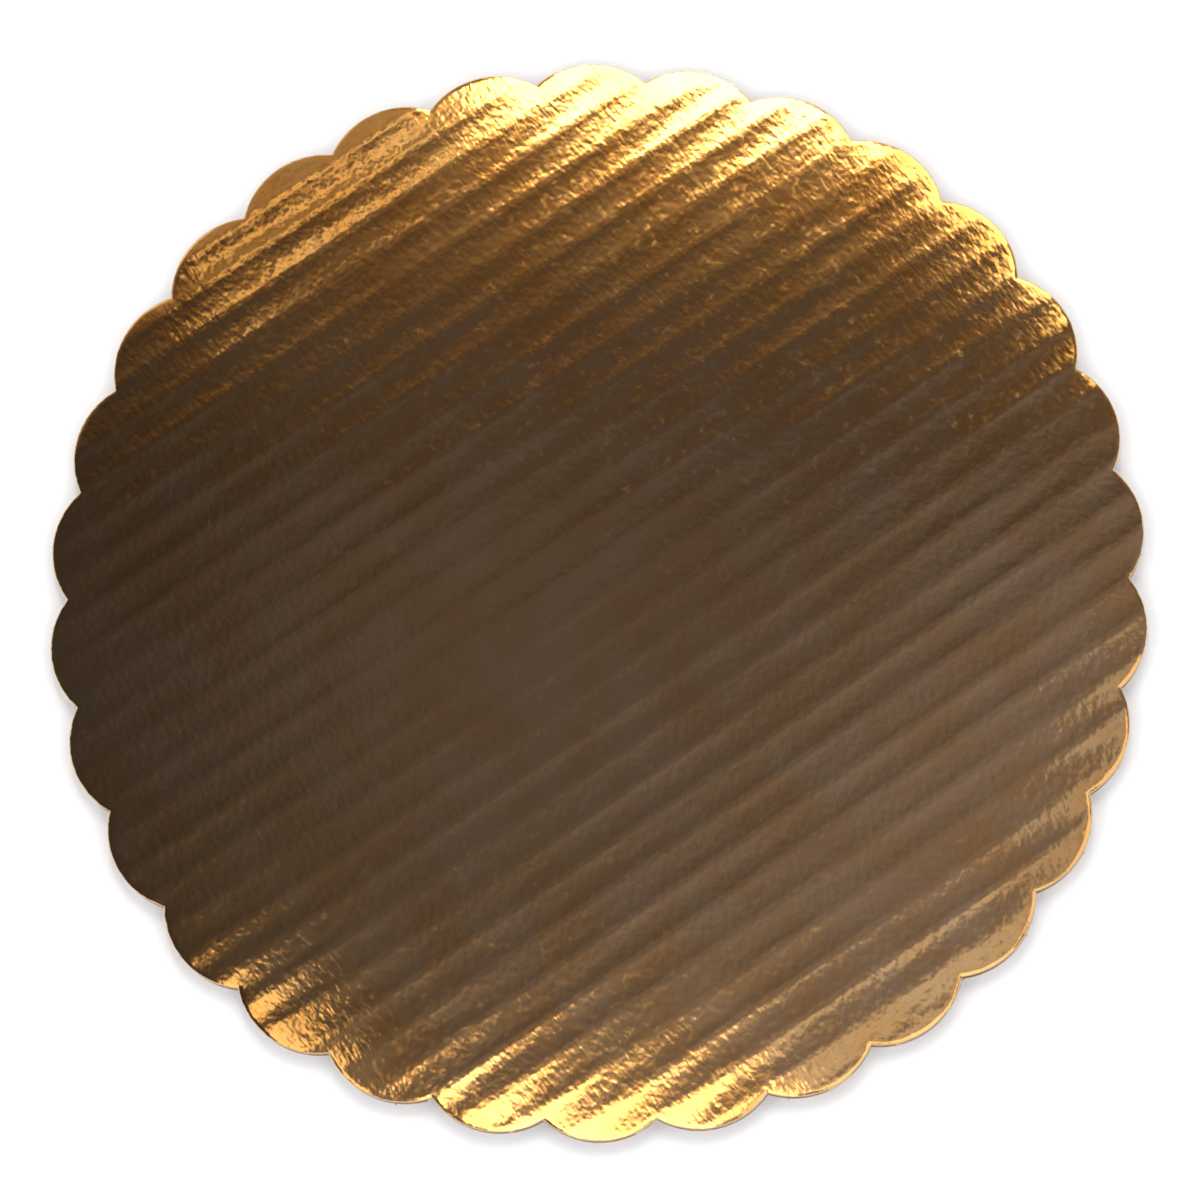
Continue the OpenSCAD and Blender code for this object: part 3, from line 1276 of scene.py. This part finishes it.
@dataclass
class CakeBoard:
    """The whole board."""

    plan: BoardPlan
    pieces: list[bpy.types.Object] = field(default_factory=list)

    kraft_pale: Rgba = (0.56, 0.37, 0.20, 1.0)
    kraft_dark: Rgba = (0.36, 0.22, 0.11, 1.0)
    kraft_fleck: Rgba = (0.22, 0.13, 0.07, 1.0)
    fluting_pale: Rgba = (0.45, 0.31, 0.18, 1.0)
    fluting_dark: Rgba = (0.28, 0.18, 0.10, 1.0)
    fluting_fleck: Rgba = (0.62, 0.50, 0.34, 1.0)
    starch_pale: Rgba = (0.74, 0.63, 0.44, 1.0)
    starch_dark: Rgba = (0.58, 0.45, 0.27, 1.0)
    film_pale: Rgba = (0.86, 0.82, 0.70, 1.0)
    film_dark: Rgba = (0.74, 0.66, 0.48, 1.0)

    def finishes(self) -> dict[str, bpy.types.Material]:
        """Makes every finish.

        Returns:
            The materials, by the record's slot name.
        """
        groups = FinishGroups()
        angle = self.plan.flute_angle
        kraft = self.kraft_pale, self.kraft_dark, self.kraft_fleck
        fluting = self.fluting_pale, self.fluting_dark, self.fluting_fleck
        film = self.film_pale, self.film_dark
        by_slot = {
            "gold_foil": GoldFoilFinish("gold_lacquered_foil", angle),
            "kraft_liner": PaperFinish("kraft_liner_paper", angle, *kraft),
            "medium_paper": PaperFinish("fluting_paper", angle, *fluting, density=0.8),
            "starch": GlueFinish("dried_starch", angle, self.starch_pale, self.starch_dark),
            "laminating_adhesive": GlueFinish("laminating_adhesive", angle, *film, roughness=0.3),
        }
        return {slot: finish.build(groups) for slot, finish in by_slot.items()}

    def build(self) -> None:
        """Builds every layer from the underside up."""
        shop = PressShop(self.plan, self.finishes())
        span = {node: (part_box(node)[0][2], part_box(node)[1][2]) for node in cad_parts}
        floor_top = span["bottom_liner"][1]
        level = span["upper_glue_lines"][1]
        layers: list[Layer] = [
            PressedSheet(shop, "bottom_liner", "kraft_liner", Face.LOWER, LINER_CUT, 0.0, floor_top),
            StarchLines(shop, "lower_glue_lines", "starch", Face.LOWER, floor_top),
            FlutedMedium(shop, "fluted_medium", "medium_paper", WAVE_CUT, *span["fluted_medium"]),
            StarchLines(shop, "upper_glue_lines", "starch", Face.UPPER, level),
        ]
        for node, slot, cut in (
            ("top_liner", "kraft_liner", LINER_CUT),
            ("foil_adhesive", "laminating_adhesive", LINER_CUT),
            ("gold_foil", "gold_foil", FOIL_CUT),
        ):
            top = span[node][1]
            layers.append(PressedSheet(shop, node, slot, Face.UPPER, cut, level, top - level))
            level = top
        self.pieces = [layer.build() for layer in layers]


# ----------------------------------------------------------------------------------------------------
# The studio


@dataclass(frozen=True)
class Softbox:
    """A rectangular lamp panel that faces straight down.

    Its place is the middle of the edge that is nearest to the board, which is the edge that the gold
    mirrors, and outward is the direction of the rest of the panel from there, in degrees.
    """

    name: str
    near_edge: tuple[float, float]
    outward: float
    width: float
    depth: float
    radiance: float
    colour: Rgb
    height: float = 1.25

    def build(self) -> bpy.types.Object:
        """Hangs the panel.

        Returns:
            The lamp object.
        """
        lamp = bpy.data.lights.new(self.name, "AREA")
        lamp.shape = "RECTANGLE"
        lamp.size, lamp.size_y = self.width, self.depth
        lamp.energy = self.radiance * math.pi * lamp.size * lamp.size_y
        lamp.color = self.colour
        panel = stand(self.name, lamp)
        angle = math.radians(self.outward)
        reach = self.depth / 2
        x, y = self.near_edge
        panel.location = (x + reach * math.cos(angle), y + reach * math.sin(angle), self.height)
        panel.rotation_euler = (0.0, 0.0, angle - math.pi / 2)
        panel.visible_camera = False
        LOG.info("softbox %s hung", self.name)
        return panel


WARM = (1.0, 0.93, 0.82)
COOL = (0.62, 0.72, 1.0)
PLAIN = (0.95, 0.93, 1.0)

# The lamps stand round the board and leave a dim gap over it.
SOFTBOXES = (
    Softbox("far_softbox", (-0.025, 0.526), 86.0, 0.235, 0.7, 7.0, WARM),
    Softbox("far_right_softbox", (0.119, 0.476), 49.7, 0.2, 0.7, 2.5, WARM),
    Softbox("far_left_strip", (-0.216, 0.479), 123.5, 0.16, 0.014, 1.4, WARM),
    Softbox("far_left_softbox", (-0.235, 0.512), 123.5, 0.2, 0.3, 0.22, WARM),
    Softbox("near_softbox", (-0.065, 0.000), -90.0, 0.176, 0.35, 3.2, WARM),
    Softbox("near_left_softbox", (-0.233, 0.050), -105.0, 0.054, 0.3, 1.5, WARM),
    Softbox("near_right_strip", (0.086, 0.052), -60.0, 0.17, 0.03, 0.65, COOL),
    Softbox("near_right_softbox", (0.111, 0.009), -60.0, 0.2, 0.3, 1.3, PLAIN),
    Softbox("right_strip", (0.180, 0.160), -25.0, 0.15, 0.03, 0.45, COOL),
    Softbox("right_softbox", (0.225, 0.139), -25.0, 0.17, 0.3, 1.0, PLAIN),
)


@dataclass(frozen=True)
class StudioSky:
    """The light all round: mottled pale walls, a dim ceiling, and plain white behind the board.

    Places on the ceiling are given by how far a direction leans, which is its X or Y over its Z.
    """

    cool: Rgb = (0.097, 0.112, 0.225)
    glow: Rgb = (1.0, 0.82, 0.85)
    wall: Rgb = (1.0, 0.995, 0.97)
    behind: Rgba = (0.92, 0.92, 0.92, 1.0)
    lowest_rise: float = 0.05
    rightward: Ramp = Ramp(-0.19, -0.08, 0.45, 1.0)
    nearward: Ramp = Ramp(-0.25, -0.09, 0.0, 1.3)
    farward_fade: Ramp = Ramp(0.22, 0.30, 0.95, 0.15)
    farward_glow: Ramp = Ramp(0.245, 0.33, 0.0, 0.15)
    mottle_scale: Rgb = (5.0, 5.0, 9.0)
    low_wall: Ramp = Ramp(0.40, 0.60, 0.06, 1.0)
    high_wall: Ramp = Ramp(0.40, 0.60, 0.6, 3.1)
    high_wall_from: tuple[float, float] = (0.3, 0.6)
    ceiling_from: Ramp = Ramp(0.78, 0.92, 0.0, 1.0)

    def build(self) -> None:
        """Makes the sky and gives it to the scene."""
        world = bpy.data.worlds.new("studio_sky")
        world.use_nodes = True
        wiring = Wiring(world.node_tree)
        wiring.tree.nodes.clear()
        direction = wiring.add("ShaderNodeTexCoord").outputs["Generated"]
        x, y, z = wiring.parts(direction)
        walls = self._walls(wiring, direction, z)
        ceiling = self._ceiling(wiring, x, y, z)
        around = wiring.blend(wiring.ramp(z, self.ceiling_from), walls, ceiling)
        seen = wiring.add("ShaderNodeLightPath").outputs["Is Camera Ray"]
        colour = wiring.blend(seen, around, self.behind)
        background = wiring.add("ShaderNodeBackground", {"Color": colour, "Strength": 1.0})
        wiring.add("ShaderNodeOutputWorld", {"Surface": background.outputs[0]})
        bpy.context.scene.world = world

    def _ceiling(self, wiring: Wiring, x: Source, y: Source, z: Source) -> Socket:
        """Makes the ceiling, which is cool overhead and glows warmly at the far side.

        Args:
            wiring: The sky's wiring.
            x: The direction's X.
            y: The direction's Y.
            z: The direction's Z.

        Returns:
            The ceiling's colour.
        """
        rise = wiring.math("MAXIMUM", z, self.lowest_rise)
        rightwards = wiring.over(x, rise)
        farwards = wiring.over(y, rise)
        nearwards = wiring.minus(rightwards, farwards)
        level = wiring.plus(wiring.ramp(rightwards, self.rightward), wiring.ramp(nearwards, self.nearward))
        faded = wiring.times(level, wiring.ramp(farwards, self.farward_fade))
        cool = wiring.scaled(self.cool, faded)
        glow = wiring.scaled(self.glow, wiring.ramp(farwards, self.farward_glow))
        return wiring.add("ShaderNodeVectorMath", {0: cool, 1: glow}, operation="ADD").outputs[0]

    def _walls(self, wiring: Wiring, direction: Source, z: Source) -> Socket:
        """Makes the walls, whose soft bright and dim patches give the foil something to mirror.

        Args:
            wiring: The sky's wiring.
            direction: The direction.
            z: The direction's Z.

        Returns:
            The walls' colour.
        """
        mottle = wiring.noise(wiring.stretched(direction, self.mottle_scale), 1.0, 1.0)
        low, high = wiring.ramp(mottle, self.low_wall), wiring.ramp(mottle, self.high_wall)
        return wiring.scaled(self.wall, wiring.remap(z, *self.high_wall_from, low, high))


@dataclass(frozen=True)
class Studio:
    """The floor, the lamps, the sky of the studio and the camera."""

    plan: BoardPlan
    lens_mm: float = 135.0
    sensor_mm: float = 36.0
    distance: float = 1.0374
    tilt: float = math.radians(12.43)
    bearing: float = math.radians(-75.5)
    roll: float = math.radians(0.51)
    look: tuple[float, float] = (1.15 * MM, -2.63 * MM)
    clip: tuple[float, float] = (0.01, 50.0)
    floor_half: float = 4.0
    floor_drop: float = 0.05 * MM
    floor_dim: Rgba = (0.90, 0.90, 0.90, 1.0)
    floor_bright: Rgba = (0.93, 0.93, 0.93, 1.0)
    floor_patches: float = 3.0
    floor_roughness: float = 0.9
    floor_specular: float = 0.1

    def build(self) -> None:
        """Builds the whole studio."""
        self._floor()
        StudioSky().build()
        for softbox in SOFTBOXES:
            softbox.build()
        self._camera()
        scene = bpy.context.scene
        scene.view_settings.view_transform = "Standard"
        scene.view_settings.look = "None"

    def _floor(self) -> bpy.types.Object:
        """Lays the pale floor just under the board.

        Returns:
            The floor.
        """
        half = self.floor_half
        corners = [(x * half, y * half, -self.floor_drop) for x, y in ((-1, -1), (1, -1), (1, 1), (-1, 1))]
        mesh = bpy.data.meshes.new("floor")
        mesh.from_pydata(corners, [], [(0, 1, 2, 3)])
        material, wiring, shader = blank_material("pale_floor")
        place = wiring.add("ShaderNodeTexCoord").outputs["Object"]
        tone = wiring.blend(wiring.noise(place, self.floor_patches), self.floor_dim, self.floor_bright)
        wiring.feed(shader["Base Color"], tone)
        shader["Roughness"].default_value = self.floor_roughness
        shader["Specular IOR Level"].default_value = self.floor_specular
        mesh.materials.append(material)
        floor = stand("floor", mesh)
        return floor

    def _camera(self) -> bpy.types.Object:
        """Puts the camera almost straight above the board.

        Returns:
            The camera.
        """
        target = Vector((*self.look, self.plan.height))
        lean = math.sin(self.tilt)
        away = Vector((lean * math.cos(self.bearing), lean * math.sin(self.bearing), math.cos(self.tilt)))
        right = Vector((math.sin(self.roll), math.cos(self.roll), 0.0)).cross(away).normalized()
        up = away.cross(right)
        data = bpy.data.cameras.new("camera")
        data.lens = self.lens_mm
        data.sensor_width = self.sensor_mm
        data.clip_start, data.clip_end = self.clip
        camera = stand("camera", data)
        camera.location = target + away * self.distance
        camera.rotation_euler = Matrix((right, up, away)).transposed().to_euler()
        bpy.context.scene.camera = camera
        return camera


def main() -> None:
    """Builds the board and its studio, in order."""
    logging.basicConfig(level=logging.INFO, format="%(name)s: %(message)s")
    plan = BoardPlan.from_frame()
    board = CakeBoard(plan)
    board.build()
    Studio(plan).build()
    LOG.info("%d pieces built", len(board.pieces))


if __name__ == "__main__":
    main()
